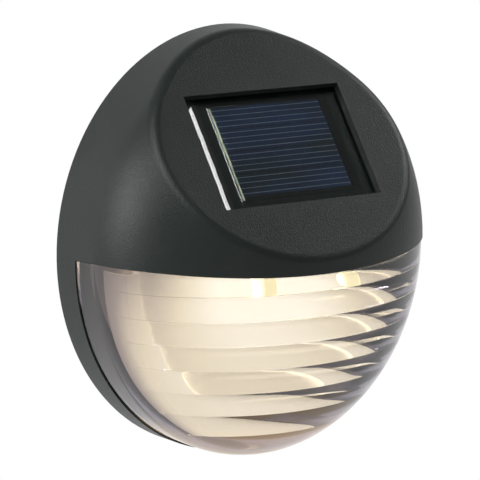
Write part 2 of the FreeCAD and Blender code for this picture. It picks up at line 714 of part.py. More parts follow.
def backPlate():
    disc = common("plate_disc", caseOval("plate_form", plateInset), slab("plate_slab", 0, s.back_plate_thick))
    out = s.bay_wall
    bay = box("bay_block", (-bayHalfWidth - out, bayHalfWidth + out),
              (-bayDepth - out, -s.back_plate_thick / 2), (bayBottom - out, bayTop + out))
    seatLength = s.switch_length / 2 + s.running_gap
    seatHeight = s.switch_height / 2 + s.running_gap
    rim = 1.2
    seat = box("switch_seat", (-seatLength - rim, seatLength + rim), (-s.back_plate_thick - 2.5, -s.back_plate_thick / 2),
               (-s.switch_drop - seatHeight - rim, -s.switch_drop + seatHeight + rim))
    whole = fuse("plate_whole", disc, bay, seat)

    room = box("bay_room", (-bayHalfWidth, bayHalfWidth), (-bayDepth, 1), (bayBottom, bayTop))
    pinHole = rod("pin_holes", s.pin_radius + s.pin_gap, 2 * (bayHalfWidth + s.pin_length + s.pin_gap),
                  -(bayHalfWidth + s.pin_length + s.pin_gap), -hingeDepth, hingeHeight, alongX)
    nail = box("nail_recess", (-s.nail_width / 2, s.nail_width / 2), (-s.nail_depth, 1),
               (bayBottom - s.nail_height, bayBottom + 1))
    entry = rod("keyhole_round", s.keyhole_entry, 2 * s.back_plate_thick, 0, -2 * s.back_plate_thick + 1,
                s.keyhole_z, towardsWall)
    slot = box("keyhole_slot_cut", (-s.keyhole_slot, s.keyhole_slot), (-2 * s.back_plate_thick, 1),
               (s.keyhole_z, s.keyhole_z + s.keyhole_rise))
    slotEnd = rod("keyhole_end", s.keyhole_slot, 2 * s.back_plate_thick, 0, -2 * s.back_plate_thick + 1,
                  s.keyhole_z + s.keyhole_rise, towardsWall)
    recess = box("switch_recess", (-s.recess_length / 2, s.recess_length / 2), (-s.recess_depth, 1),
                 (-s.switch_drop - s.recess_height / 2, -s.switch_drop + s.recess_height / 2))
    halfSlot = s.knob_length / 2 + s.running_gap
    knobSlot = box("knob_slot", (-halfSlot - s.switch_travel / 2, halfSlot + s.switch_travel / 2),
                   (-s.back_plate_thick - 1, 1),
                   (-s.switch_drop - s.knob_height / 2 - s.running_gap,
                    -s.switch_drop + s.knob_height / 2 + s.running_gap))
    switchRoom = box("switch_room", (-seatLength, seatLength), (-s.back_plate_thick - 4, -s.back_plate_thick),
                     (-s.switch_drop - seatHeight, -s.switch_drop + seatHeight))
    wireHole = rod("bay_wire_holes", s.wire_radius + s.seat_gap, 4 * bayHalfWidth, -2 * bayHalfWidth,
                   -batteryDepth, s.bay_middle - s.contact_width / 4, alongX)
    tools = [room, pinHole, nail, entry, slot, slotEnd, recess, knobSlot, switchRoom, wireHole]
    for i, (x, z) in enumerate(caseScrewPlaces + reflectorScrewPlaces):
        tools.append(rod(f"screw_hole{i}", s.screw_shank + s.running_gap, 2 * s.back_plate_thick,
                         x, -2 * s.back_plate_thick + 1, z, towardsWall))
        tools.append(rod(f"screw_seat{i}", s.screw_head + s.running_gap, s.screw_head_thick + 2 * s.seat_gap + 1,
                         x, -s.screw_head_thick - 2 * s.seat_gap, z, towardsWall))
    return subPart("back_plate", cut("back_plate", whole, *tools))


def backGasket():
    band = cut("gasket_band", caseOval("gasket_out", plateInset),
               caseOval("gasket_in", s.case_wall + s.ledge_width + s.running_gap))
    notches = [rod(f"gasket_notch{i}", s.boss_radius + s.running_gap, reach, x, -1, z, awayFromWall)
               for i, (x, z) in enumerate(caseScrewPlaces)]
    ring = common("gasket_ring", band, slab("gasket_slab", s.back_plate_thick + s.seat_gap / 2,
                                            s.ledge_back - s.seat_gap / 2))
    return subPart("back_gasket", cut("back_gasket", ring, *notches))


def batteryCover():
    halfLength = bayHalfWidth - s.running_gap
    leaf = box("cover_leaf", (-halfLength, halfLength), (-s.cover_thick, 0),
               (bayBottom + s.running_gap, hingeHeight))
    edge = rod("cover_edge", s.cover_thick, 2 * halfLength, -halfLength, -hingeDepth, hingeHeight, alongX)
    pins = rod("cover_pins", s.pin_radius, 2 * (bayHalfWidth + s.pin_length),
               -bayHalfWidth - s.pin_length, -hingeDepth, hingeHeight, alongX)
    ribs = []
    for i, side in enumerate((-1, 1)):
        x = side * s.cover_rib_x
        ribs.append(box(f"cover_rib{i}", (x - s.cover_rib_thick / 2, x + s.cover_rib_thick / 2),
                        (-s.cover_thick - s.cover_rib, -s.cover_thick / 2),
                        (bayBottom + s.cover_thick, hingeHeight - s.cover_thick)))
    grip = rod("cover_grip", 1.2, s.nail_width - 2, -s.nail_width / 2 + 1, 0.4, bayBottom + 3, alongX)
    return subPart("battery_cover", cut("battery_cover", fuse("cover_whole", leaf, edge, pins, *ribs), grip))


contactFace = bayHalfWidth - s.seat_gap / 2
batteryRight = contactFace - s.contact_thick - s.contact_dimple - s.seat_gap / 2 - s.nub_length
batteryLeft = batteryRight - s.cell_body


def battery():
    can = rod("battery_can", s.cell_radius, s.cell_body, batteryLeft, -batteryDepth, s.bay_middle, alongX)
    nub = rod("battery_nub", s.nub_radius, 2 * s.nub_length, batteryRight - s.nub_length, -batteryDepth,
              s.bay_middle, alongX)
    return subPart("battery", fuse("battery", can, nub))


def contacts():
    half = s.contact_width / 2
    span, height = (-batteryDepth - half, -batteryDepth + half), (s.bay_middle - half, s.bay_middle + half)
    plate = box("positive_plate", (contactFace - s.contact_thick, contactFace), span, height)
    dimple = rod("positive_dimple", s.nub_radius, s.contact_dimple + s.contact_thick / 2,
                 contactFace - s.contact_thick - s.contact_dimple, -batteryDepth, s.bay_middle, alongX)
    subPart("positive_contact", fuse("positive_contact", plate, dimple))
    subPart("negative_contact", group("negative_contact",
            box("negative_plate", (-contactFace, s.contact_thick - contactFace), span, height)))


def arcFrom(start, heading, end):
    """The round arc that leaves a point along a heading and ends at another point."""
    chord = end - start
    straight = chord.Length
    along = heading.dot(chord) / straight
    side = heading - chord * (along / straight)
    if side.Length < 1e-9:
        return Part.makeLine(start, end)
    half = math.acos(max(-1.0, min(1.0, along)))
    sagitta = straight / 2 * math.tan(half / 2)
    middle = start + chord * 0.5 + side * (sagitta / side.Length)
    return Part.Arc(start, middle, end).toShape()


def biarc(start, heading, end, ending):
    """Two round arcs that join two points and keep the heading at both."""
    chord = end - start
    both = heading + ending
    a = 2 * (1 - heading.dot(ending))
    b = 2 * chord.dot(both)
    c = -chord.dot(chord)
    reachOut = (-b + math.sqrt(b * b - 4 * a * c)) / (2 * a) if abs(a) > 1e-9 else -c / b
    joint = (start + heading * reachOut + end - ending * reachOut) * 0.5
    across = (end - ending * reachOut) - (start + heading * reachOut)
    across.normalize()
    return [arcFrom(start, heading, joint), arcFrom(joint, across, end)]


def batterySpring():
    """A tapering coil of round wire between the negative contact and the battery."""
    wire = float(s.spring_wire)
    start = float(s.contact_thick - contactFace + s.seat_gap / 2) + wire
    end = float(batteryLeft - s.seat_gap / 2) - wire
    turns = float(s.spring_turns)
    wide, narrow = float(s.spring_wide), float(s.spring_narrow)
    centre = Vector(0, -float(batteryDepth), float(s.bay_middle))
    quarters = int(round(turns * 4))

    def point(share):
        angle = 2 * math.pi * turns * share
        radius = wide + (narrow - wide) * share
        return centre + Vector(start + (end - start) * share, radius * math.cos(angle), radius * math.sin(angle))

    def heading(share):
        step = 1e-4
        way = point(share + step) - point(share - step)
        return way.normalize()

    edges = []
    for i in range(quarters):
        first, last = i / quarters, (i + 1) / quarters
        edges += biarc(point(first), heading(first), point(last), heading(last))
    path = Part.Wire(edges)
    section = Part.Wire([Part.makeCircle(wire, point(0), heading(0))])
    coil = path.makePipeShell([section], True, False)
    samples = [point(i / 400) for i in range(401)]
    apart = 3 * 400 // (4 * turns)
    least = min((samples[i] - samples[j]).Length for i in range(401) for j in range(i + int(apart), 401))
    print(f"battery spring: least gap to itself {least - 2 * wire:.2f} mm")
    return subPart("battery_spring", feature("battery_spring", coil))


def backScrews():
    screws = []
    for i, (x, z) in enumerate(caseScrewPlaces + reflectorScrewPlaces):
        face = s.screw_head_thick + s.seat_gap
        head = rod(f"case_screw_head{i}", s.screw_head, s.screw_head_thick, x, -s.seat_gap, z, awayFromWall)
        shank = rod(f"case_screw_shank{i}", s.screw_shank, s.screw_length - 1.5, x, -face + s.seat_gap, z, awayFromWall)
        tip = cone(f"case_screw_tip{i}", s.screw_shank, 0.4, 1.5, x, -face + s.seat_gap - s.screw_length + 1.5, z, awayFromWall)
        cross = [box(f"case_screw_slot{i}{j}", (x - w, x + w), (-0.8, 1), (z - t, z + t))
                 for j, (w, t) in enumerate(((1.6, 0.35), (0.35, 1.6)))]
        screws.append(cut(f"case_screw{i}", fuse(f"case_screw_whole{i}", head, shank, tip), *cross))
    return subPart("back_screws", group("back_screws", *screws))


def powerSwitch():
    back = s.back_plate_thick + s.seat_gap
    block = box("switch_block", (-s.switch_length / 2, s.switch_length / 2), (-back - s.switch_depth, -back),
                (-s.switch_drop - s.switch_height / 2, -s.switch_drop + s.switch_height / 2))
    shoe = s.knob_length / 2 + 1.0
    track = box("switch_track", (-shoe - s.switch_travel / 2 - s.running_gap, shoe + s.switch_travel / 2 + s.running_gap),
                (-back - 1.6, -back + 1),
                (-s.switch_drop - s.knob_height / 2 - s.running_gap, -s.switch_drop + s.knob_height / 2 + s.running_gap))
    pins = [rod(f"switch_pin{i}", s.switch_pin, s.switch_pin_length + s.switch_depth / 4,
                (i - 1) * s.switch_pin_pitch, -back - 0.75 * s.switch_depth, -s.switch_drop, awayFromWall)
            for i in range(3)]
    subPart("switch_body", cut("switch_body", fuse("switch_whole", block, *pins), track))
    rest = -s.switch_travel / 2
    base = box("slider_base", (rest - shoe, rest + shoe), (-back - 1.3, -back - 0.1),
               (-s.switch_drop - s.knob_height / 2, -s.switch_drop + s.knob_height / 2))
    knob = box("slider_knob", (rest - s.knob_length / 2, rest + s.knob_length / 2), (-back - 0.5, -0.4),
               (-s.switch_drop - s.knob_height / 2, -s.switch_drop + s.knob_height / 2))
    subPart("switch_slider", fuse("switch_slider", base, knob))


def route(points, bend):
    """Straight runs through the points, with an arc of one radius at each corner."""
    edges, start = [], points[0]
    for before, corner, after in zip(points, points[1:], points[2:]):
        arriving, leaving = (corner - before).normalize(), (after - corner).normalize()
        half = arriving.getAngle(leaving) / 2
        away = bend * math.tan(half)
        first, last = corner - arriving * away, corner + leaving * away
        inwards = (leaving - arriving).normalize()
        middle = corner + inwards * (bend / math.cos(half) - bend)
        edges += [Part.makeLine(start, first), Part.Arc(first, middle, last).toShape()]
        start = last
    return Part.Wire(edges + [Part.makeLine(start, points[-1])])


def wires(label, *routes):
    """Insulated wires, each along its own route of corner points."""
    tubes = []
    for corners in routes:
        points = [Vector(float(x), float(y), float(z)) for x, y, z in corners]
        path = route(points, float(s.wire_bend))
        circle = Part.Wire([Part.makeCircle(float(s.wire_radius), points[0], points[1] - points[0])])
        tubes.append(path.makePipeShell([circle], True, False))
    return subPart(label, feature(label, Part.makeCompound(tubes)))


def wiring():
    landing = boardTop + s.seat_gap / 2
    lift = boardTop + 2 * s.wire_bend + s.seat_gap

    panelBack = facetOffset + boardFace - s.panel_board_thick - s.seat_gap / 2
    low = s.window_rise - s.window_height / 3
    start = (sine(s.facet_tilt) * low - cosine(s.facet_tilt) * panelBack,
             cosine(s.facet_tilt) * low + sine(s.facet_tilt) * panelBack)
    drop = 1.5 * s.wire_bend
    turn = (start[0] + cosine(s.facet_tilt) * drop, start[1] - sine(s.facet_tilt) * drop)
    wires("panel_leads", *[[(x, *start), (x, *turn), (x, turn[0], landing)]
                           for x in (s.peg_x - s.wire_spacing, s.peg_x)])

    side = bayHalfWidth + s.bay_wall + 2 * s.wire_bend
    edge = s.board_half_width - 2 * s.wire_radius
    level = s.bay_middle - s.contact_width / 4
    wires("battery_leads", *[[
        (sign * contactFace, -batteryDepth, level), (sign * side, -batteryDepth, level),
        (sign * side, -batteryDepth, lift), (sign * edge, -boardBack - s.wire_bend, lift),
        (sign * edge, -boardBack - s.wire_bend, landing)] for sign in (-1, 1)])

    pinEnd = switchPinEnd + s.seat_gap / 2
    wires("switch_leads", *[[
        (x, -pinEnd, -s.switch_drop), (x, -switchWireDepth, -s.switch_drop), (x, -switchWireDepth, lift),
        (x, -boardBack - s.wire_bend, lift), (x, -boardBack - s.wire_bend, landing)] for x in switchWireX])


frontHousing()
lens()
reflector()
ledTray()
for x, label in ledPlaces:
    led(label, x)
circuitBoard()
boardComponents()
boardScrews()
solarPanel()
backPlate()
backGasket()
batteryCover()
battery()
contacts()
batterySpring()
backScrews()
powerSwitch()
wiring()

doc.recompute()
for thing in doc.Objects:
    if "Invalid" in thing.State or "Error" in thing.State:
        raise RuntimeError(f"{thing.Name} did not build: {thing.State}")
for piece in subParts:
    if piece.Shape.isNull() or not piece.Shape.isValid():
        raise RuntimeError(f"{piece.Label} has no valid shape")
for piece in subParts:
    piece.Shape.exportStep(f"parts/{piece.Label}.step")
    print(f"{piece.Label}: {len(piece.Shape.Solids)} solid(s), {piece.Shape.Volume:.0f} mm3")
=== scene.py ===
import math

import bpy
import numpy as np
from mathutils import Matrix, Vector


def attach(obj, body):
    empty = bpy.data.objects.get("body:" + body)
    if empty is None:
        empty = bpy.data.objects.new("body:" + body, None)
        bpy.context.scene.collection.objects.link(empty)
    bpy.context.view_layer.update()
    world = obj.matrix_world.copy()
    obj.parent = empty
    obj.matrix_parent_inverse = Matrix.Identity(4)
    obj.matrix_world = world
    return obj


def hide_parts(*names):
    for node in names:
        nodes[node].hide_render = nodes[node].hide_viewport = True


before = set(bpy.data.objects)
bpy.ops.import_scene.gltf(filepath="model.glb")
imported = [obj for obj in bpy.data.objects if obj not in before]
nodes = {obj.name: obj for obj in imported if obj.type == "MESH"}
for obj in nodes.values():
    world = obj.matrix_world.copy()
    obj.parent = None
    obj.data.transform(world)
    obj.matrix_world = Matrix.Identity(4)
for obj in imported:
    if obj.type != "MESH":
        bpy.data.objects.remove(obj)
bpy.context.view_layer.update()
mm = 0.001
far = 200    # in millimetres, past every piece
print("frame loaded:", len(nodes), "nodes")

# The case is an oval: a drafted side wall that runs into half an ellipsoid, turned round the Y axis
# and made taller. Millimetres, the wall is y = 0, and a depth d is the place y = -d.
form = {
    "rimHalfWidth": 55.0,
    "heightRatio": 1.149,
    "draftDegrees": 3.0,
    "crownCentre": 17.5,
    "crownDepth": 39.5,
    "behindWall": 2.0,    # how far a form runs on behind the wall before it is cut
    "sideRows": 14,
    "hoodEdgeTop": 1.75,
    "hoodEdgeDepth": 32.0,
    "hoodEdgeRadius": 170.0,
    "hoodEdgeTurns": 1440,
    "ringDepth": 10.0,
    "facetTiltDegrees": 39.7,
    "facetCut": 16.8,
    "windowWidth": 52.1,
    "windowHeight": 36.9,
    "windowRise": 3.8,
}

draftSlope = math.tan(math.radians(form["draftDegrees"]))
tilt = math.radians(form["facetTiltDegrees"])


def crownSize(inset):
    # half width and depth of the ellipsoid, this far inside the case's outside
    depth = form["crownDepth"] - inset
    reach = form["rimHalfWidth"] - inset - form["crownCentre"] * draftSlope
    return math.sqrt(reach ** 2 - (depth * draftSlope) ** 2), depth


crownWidth, crownDepth = crownSize(0)
facetOffset = (form["crownCentre"] * math.cos(tilt) - form["facetCut"]
               + math.hypot(crownDepth * math.cos(tilt), crownWidth * form["heightRatio"] * math.sin(tilt)))
across = Vector((1, 0, 0))
upSlope = Vector((0, math.sin(tilt), math.cos(tilt)))
facetNormal = Vector((0, -math.cos(tilt), math.sin(tilt)))


def onFacet(x, rise, out):
    # x across, rise up the slope from the window's middle, out from the facet's plane
    return (across * x + upSlope * (rise + form["windowRise"]) + facetNormal * (facetOffset + out)) * mm


# Mesh helpers

def newPiece(name, vertices, faces):
    mesh = bpy.data.meshes.new(name)
    mesh.from_pydata([tuple(v) for v in vertices], [], [tuple(f) for f in faces])
    mesh.update()
    piece = bpy.data.objects.new(name, mesh)
    bpy.context.scene.collection.objects.link(piece)
    return piece


def smooth(piece, degrees):
    piece.data.shade_smooth()
    piece.data.set_sharp_from_angle(angle=math.radians(degrees))
    return piece


def loft(rings, closeEnd=True):
    # closed rings of equal length, each joined to the next
    count = len(rings[0])
    vertices = [p for ring in rings for p in ring]
    faces = []
    for j in range(len(rings) - 1):
        for i in range(count):
            k = (i + 1) % count
            faces.append((j * count + i, j * count + k, (j + 1) * count + k, (j + 1) * count + i))
    faces.append(tuple(reversed(range(count))))
    if closeEnd:
        faces.append(tuple(range((len(rings) - 1) * count, len(rings) * count)))
    return vertices, faces


def combine(piece, tool, operation):
    # the tool is used up
    step = piece.modifiers.new("combine", "BOOLEAN")
    step.operation = operation
    step.solver = "MANIFOLD"
    step.object = tool
    bpy.context.view_layer.update()
    made = bpy.data.meshes.new_from_object(piece.evaluated_get(bpy.context.evaluated_depsgraph_get()))
    piece.modifiers.remove(step)
    old = piece.data
    made.name = old.name
    piece.data = made
    bpy.data.meshes.remove(old)
    toolMesh = tool.data
    bpy.data.objects.remove(tool)
    bpy.data.meshes.remove(toolMesh)


def block(name, low, high):
    (x0, y0, z0), (x1, y1, z1) = low, high
    rings = [[(x0, y0, z), (x1, y0, z), (x1, y1, z), (x0, y1, z)] for z in (z0, z1)]
    vertices, faces = loft(rings)
    return newPiece(name, [Vector(v) * mm for v in vertices], faces)


def ovalProfile(inset, steps):
    # half width and depth, from behind the wall to the tip of the dome
    width, depth = crownSize(inset)
    centre = form["crownCentre"]
    start = math.atan(draftSlope * depth / width)
    meeting = centre + depth * math.sin(start)
    rim = form["rimHalfWidth"] - inset
    places = np.linspace(-form["behindWall"], meeting, form["sideRows"])[:-1]
    side = [(rim - draftSlope * d, d) for d in places]
    angles = np.linspace(start, math.pi / 2, steps)[:-1]
    dome = [(width * math.cos(a), centre + depth * math.sin(a)) for a in angles]
    return side + dome, centre + depth


def oval(name, inset, around, steps):
    profile, tip = ovalProfile(inset, steps)
    angles = np.linspace(0, 2 * math.pi, around, endpoint=False)
    ratio = form["heightRatio"]
    rings = [[(r * math.cos(a), -d, ratio * r * math.sin(a)) for a in angles] for r, d in profile]
    vertices, faces = loft(rings, closeEnd=False)
    last = len(vertices) - around
    vertices.append((0, -tip, 0))
    faces += [(last + i, last + (i + 1) % around, len(vertices) - 1) for i in range(around)]
    return newPiece(name, np.array(vertices) * mm, faces)


# Camera, set to the photograph's angle

view = {
    "azimuth": -32.266,
    "elevation": 12.242,
    "roll": 0.65,
    "distance": 0.8506,
    "target": (-0.005651, -0.020, 0.003136),
    "lens": 220.9,
    "sensorWidth": 36.0,
    "clip": (0.05, 50.0),
}


def addCamera():
    a, e, roll = (math.radians(view[k]) for k in ("azimuth", "elevation", "roll"))
    back = Vector((math.sin(a) * math.cos(e), -math.cos(a) * math.cos(e), math.sin(e)))
    right = Vector((math.cos(a), math.sin(a), 0))
    up = Vector((-math.sin(a) * math.sin(e), math.cos(a) * math.sin(e), math.cos(e)))
    rolledRight = math.cos(roll) * right + math.sin(roll) * up
    rolledUp = -math.sin(roll) * right + math.cos(roll) * up
    data = bpy.data.cameras.new("camera")
    data.lens = view["lens"]
    data.sensor_width = view["sensorWidth"]
    data.clip_start, data.clip_end = view["clip"]
    camera = bpy.data.objects.new("camera", data)
    place = Matrix.Translation(Vector(view["target"]) + back * view["distance"])
    camera.matrix_world = place @ Matrix((rolledRight, rolledUp, back)).transposed().to_4x4()
    bpy.context.scene.collection.objects.link(camera)
    bpy.context.scene.camera = camera


addCamera()


# Materials are built from nodes with this small helper

class Finish:
    def __init__(self, name):
        self.material = bpy.data.materials.new(name)
        self.material.use_nodes = True
        self.tree = self.material.node_tree
        self.tree.nodes.clear()
        self.output = self.tree.nodes.new("ShaderNodeOutputMaterial")
        self.shader = self.tree.nodes.new("ShaderNodeBsdfPrincipled")
        self.tree.links.new(self.shader.outputs[0], self.output.inputs["Surface"])
        self.where = self.node("TexCoord").outputs["Object"]

    def set(self, **values):
        for key, value in values.items():
            self.feed(self.shader, key.replace("_", " "), value)
        return self

    def node(self, kind, inputs=None, **settings):
        made = self.tree.nodes.new("ShaderNode" + kind)
        for key, value in settings.items():
            setattr(made, key, value)
        for key, value in (inputs or {}).items():
            self.feed(made, key, value)
        return made

    def feed(self, node, key, value):
        if isinstance(value, bpy.types.NodeSocket):
            self.tree.links.new(value, node.inputs[key])
        else:
            node.inputs[key].default_value = value

    def math(self, operation, first, second=0.0):
        return self.node("Math", {0: first, 1: second}, operation=operation).outputs[0]

    def axis(self, letter):
        return self.node("SeparateXYZ", {0: self.where}).outputs[letter]

    def stretched(self, x=1.0, y=1.0, z=1.0):
        return self.node("Mapping", {"Vector": self.where, "Scale": (x, y, z)}).outputs[0]

    def noise(self, scale, detail=3.0, roughness=0.5, where=None):
        return self.node("TexNoise", {"Vector": where or self.where, "Scale": scale, "Detail": detail,
                                      "Roughness": roughness}).outputs["Fac"]

    def spread(self, value, fromLow, fromHigh, low=0.0, high=1.0, smoothly=False):
        return self.node("MapRange", {"Value": value, "From Min": fromLow, "From Max": fromHigh,
                                      "To Min": low, "To Max": high},
                         interpolation_type="SMOOTHSTEP" if smoothly else "LINEAR").outputs["Result"]

    def tones(self, value, *stops):
        ramp = self.node("ValToRGB", {"Fac": value})
        elements = ramp.color_ramp.elements
        while len(elements) < len(stops):
            elements.new(0.5)
        for element, (position, colour) in zip(elements, stops):
            element.position = position
            element.color = (*colour, 1.0)
        return ramp.outputs["Color"]

    def bump(self, height, strength, distance, under=None):
        inputs = {"Height": height, "Strength": strength, "Distance": distance}
        if under is not None:
            inputs["Normal"] = under
        made = self.node("Bump", inputs).outputs["Normal"]
        self.feed(self.shader, "Normal", made)
        return made


def srgb(red, green, blue):
    def linear(value):
        value /= 255
        return value / 12.92 if value <= 0.04045 else ((value + 0.055) / 1.055) ** 2.4
    return tuple(linear(v) for v in (red, green, blue))


def coat(piece, look):
    piece.data.materials.clear()
    piece.data.materials.append(look.material)


def dress(look, *names):
    for name in names:
        coat(nodes[name], look)


# Studio: a white backdrop behind the light, a dimmer room in front, four soft lamps

studio = {
    "backdrop": 1.0,
    "room": 0.14,
    "backdropFrom": (0.3, 0.7),    # it fades in as a ray points this much behind the light
    "backLight": 0.45,    # how much of the backdrop lights the object's back
    "floorHeight": -0.30,
    "floorHalfSize": 6.0,
    "floorColour": (0.82, 0.82, 0.82, 1),
    "lampAim": (0, -0.02, 0),
    "lamps": {    # direction from the light, distance, size, watts
        "left": ((-0.92, 0.17, 0.26), 1.1, (0.3, 0.4), 9.5),
        "key": ((-0.54, -0.34, 0.80), 1.2, (0.4, 0.4), 12.0),
        "right": ((0.82, -0.08, 0.56), 1.2, (0.34, 0.42), 6.0),
        "front": ((-0.30, -0.90, 0.35), 1.3, (0.7, 0.7), 0.8),
    },
}


def addLamp(name, direction, distance, size, watts):
    data = bpy.data.lights.new(name, "AREA")
    data.shape = "RECTANGLE"
    data.size, data.size_y = size
    data.energy = watts
    lamp = bpy.data.objects.new(name, data)
    aim = Vector(studio["lampAim"])
    lamp.location = aim + Vector(direction).normalized() * distance
    lamp.rotation_euler = (aim - lamp.location).to_track_quat("-Z", "Y").to_euler()
    bpy.context.scene.collection.objects.link(lamp)


def addWorld():
    # the camera sees white all round, mirrors and clear pieces only behind the light, other rays less
    world = bpy.data.worlds.new("studio")
    world.use_nodes = True
    bpy.context.scene.world = world
    tree = world.node_tree
    tree.nodes.clear()

    def node(kind, *sources, **settings):
        made = tree.nodes.new("ShaderNode" + kind)
        for key, value in settings.items():
            setattr(made, key, value)
        for i, source in enumerate(sources):
            if isinstance(source, bpy.types.NodeSocket):
                tree.links.new(source, made.inputs[i])
            else:
                made.inputs[i].default_value = source
        return made

    rays = node("LightPath").outputs
    heading = node("SeparateXYZ", node("TexCoord").outputs["Generated"]).outputs["Y"]
    behind = node("MapRange", heading, *studio["backdropFrom"], 0.0, 1.0).outputs[0]
    glossy, clear = rays["Is Glossy Ray"], rays["Is Transmission Ray"]
    mirrored = node("Math", glossy, clear, operation="MAXIMUM").outputs[0]
    least = node("Math", mirrored, studio["backLight"], operation="MAXIMUM").outputs[0]
    seen = node("Math", least, behind, operation="MULTIPLY").outputs[0]
    white = node("Math", seen, rays["Is Camera Ray"], operation="MAXIMUM").outputs[0]
    room = node("Background", (1, 1, 1, 1), studio["room"])
    backdrop = node("Background", (1, 1, 1, 1), studio["backdrop"])
    mix = node("MixShader", white, room.outputs[0], backdrop.outputs[0])
    tree.links.new(mix.outputs[0], node("OutputWorld").inputs[0])


def addFloor():
    size, height = studio["floorHalfSize"], studio["floorHeight"]
    corners = [(-size, -size, height), (size, -size, height), (size, size, height), (-size, size, height)]
    floor = newPiece("floor", corners, [(0, 1, 2, 3)])
    look = Finish("pale_floor").set(Base_Color=studio["floorColour"], Roughness=0.8)
    rays = look.node("LightPath").outputs
    mirrored = look.math("MAXIMUM", rays["Is Glossy Ray"], rays["Is Transmission Ray"])
    seen = look.math("MAXIMUM", mirrored, rays["Is Camera Ray"])
    glow = look.node("Emission", {"Color": (1, 1, 1, 1), "Strength": 1.0}).outputs[0]
    blend = look.node("MixShader", {0: seen, 1: look.shader.outputs[0], 2: glow})
    look.tree.links.new(blend.outputs[0], look.output.inputs["Surface"])
    coat(floor, look)


bpy.context.scene.view_settings.view_transform = "Standard"
addWorld()
addFloor()
for name, setting in studio["lamps"].items():
    addLamp(name, *setting)
print("camera and studio ready")


# Lens: smooth outside. Inside its dome each band is thin at the top and thicker at the foot, and
# ends in a ledge, so that it works as a prism.

lensPlan = {
    "inset": 0.4,
    "wall": 2.2,
    "step": 1.4,
    "stepAtFoot": 1.1,
    "stepFade": 50.0,    # this far below the light's middle a band has the foot's step
    "firstStep": 5.45,
    "pitch": 7.35,
    "ledgeFall": 0.05,
    "floorGap": 1.4,
    "edgeGap": 0.2,
    "flangeBack": 3.9,
    "flangeTop": 6.0,
    "flangeInset": 2.3,
    "fadeFrom": 7.0,    # the bands grow out of the smooth side wall between these depths of the dome
    "fadeTo": 28.0,
    "spare": 1.0,    # how far a cutting form runs past what it cuts
    "rowsPerBand": 14,
    "cavityTurns": 221,
    "skinMesh": (480, 120),    # turns and rows
    "formMesh": (360, 60),
    "smoothDegrees": 26,
    "colour": (0.20, 0.175, 0.21, 1),
    "footGlowFrom": -45.0,    # the lamps' light in the thick plastic at the foot
    "footGlowTo": -54.0,
    "footGlowColour": (0.30, 0.19, 0.08),
    "footGlowStrength": 0.25,
}


def bandRows(floor):
    # (height, how far the wall has thickened) from the top of the lens to its foot
    rows = []
    top = 0.0
    edges = list(np.arange(-lensPlan["firstStep"], floor, -lensPlan["pitch"])) + [floor]
    for edge in edges:
        lost = min(1.0, -top / lensPlan["stepFade"])
        step = lensPlan["step"] + (lensPlan["stepAtFoot"] - lensPlan["step"]) * lost
        for share in np.linspace(0, 1, lensPlan["rowsPerBand"]):
            height = top + (edge - top) * share
            if share == 0 and rows:
                height -= lensPlan["ledgeFall"]
            rows.append((height, step * (1 - (1 - share) ** 2)))
        top = edge
    return [(lensPlan["flangeTop"] + lensPlan["spare"], 0.0)] + rows


def lensCavity():
    thin = lensPlan["inset"] + lensPlan["wall"]
    thick = thin + lensPlan["stepAtFoot"]
    centre, ratio = form["crownCentre"], form["heightRatio"]
    floor = lensPlan["floorGap"] - crownSize(thick)[0] * ratio
    width, depth = crownSize(thin)
    turns = np.linspace(math.pi, 0, lensPlan["cavityTurns"])
    back = form["behindWall"]
    rings = []
    for height, added in reversed(bandRows(floor)):
        share = math.sqrt(1 - (height / (width * ratio)) ** 2)
        narrow, shallow = crownSize(thin + added)
        less = math.sqrt(max(0.0, 1 - (height / (narrow * ratio)) ** 2))
        ring = []
        for turn in turns:
            rise = math.sin(turn)
            reach = rise * depth * share - lensPlan["fadeFrom"]
            grown = min(1.0, max(0.0, reach / (lensPlan["fadeTo"] - lensPlan["fadeFrom"])))
            grown = grown * grown * (3 - 2 * grown)
            halfWidth = width * share + (narrow * less - width * share) * grown
            halfDepth = depth * share + (shallow * less - depth * share) * grown
            ring.append((halfWidth * math.cos(turn), -centre - halfDepth * rise, height))
        side = width * share
        ring += [(side, -centre / 2, height), (side, back, height),
                 (-side, back, height), (-side, -centre / 2, height)]
        rings.append([Vector(p) * mm for p in ring])
    vertices, faces = loft(rings)
    return newPiece("lens_cavity", vertices, faces)


def hoodEdge(name, gap):
    # a long round bar whose upper side follows the hood's arched edge
    radius = form["hoodEdgeRadius"] - gap
    middle = form["hoodEdgeTop"] - form["hoodEdgeRadius"]
    angles = np.linspace(0, 2 * math.pi, form["hoodEdgeTurns"], endpoint=False)
    rings = [[Vector((x, -form["hoodEdgeDepth"] + radius * math.cos(a), middle + radius * math.sin(a))) * mm
              for a in angles] for x in (-far, far)]
    vertices, faces = loft(rings)
    return newPiece(name, vertices, faces)


def makeLens():
    skin = oval("lens_skin", lensPlan["inset"], *lensPlan["skinMesh"])
    combine(skin, hoodEdge("under_hood", lensPlan["edgeGap"]), "INTERSECT")
    ahead = form["ringDepth"] + lensPlan["edgeGap"]
    combine(skin, block("ahead_of_ring", (-far, -far, -far), (far, -ahead, far)), "INTERSECT")
    flange = oval("flange", lensPlan["flangeInset"], *lensPlan["formMesh"])
    room = block("flange_room", (-far, -far, -far), (far, -lensPlan["flangeBack"], lensPlan["flangeTop"]))
    combine(flange, room, "INTERSECT")
    combine(skin, flange, "UNION")
    combine(skin, lensCavity(), "DIFFERENCE")
    behind = oval("lens_behind", lensPlan["inset"] + lensPlan["wall"], *lensPlan["formMesh"])
    room = block("behind_dome", (-far, -form["crownCentre"], -far), (far, lensPlan["spare"], far))
    combine(behind, room, "INTERSECT")
    combine(skin, behind, "DIFFERENCE")
    skin.name = "stepped_lens"
    return smooth(skin, lensPlan["smoothDegrees"])


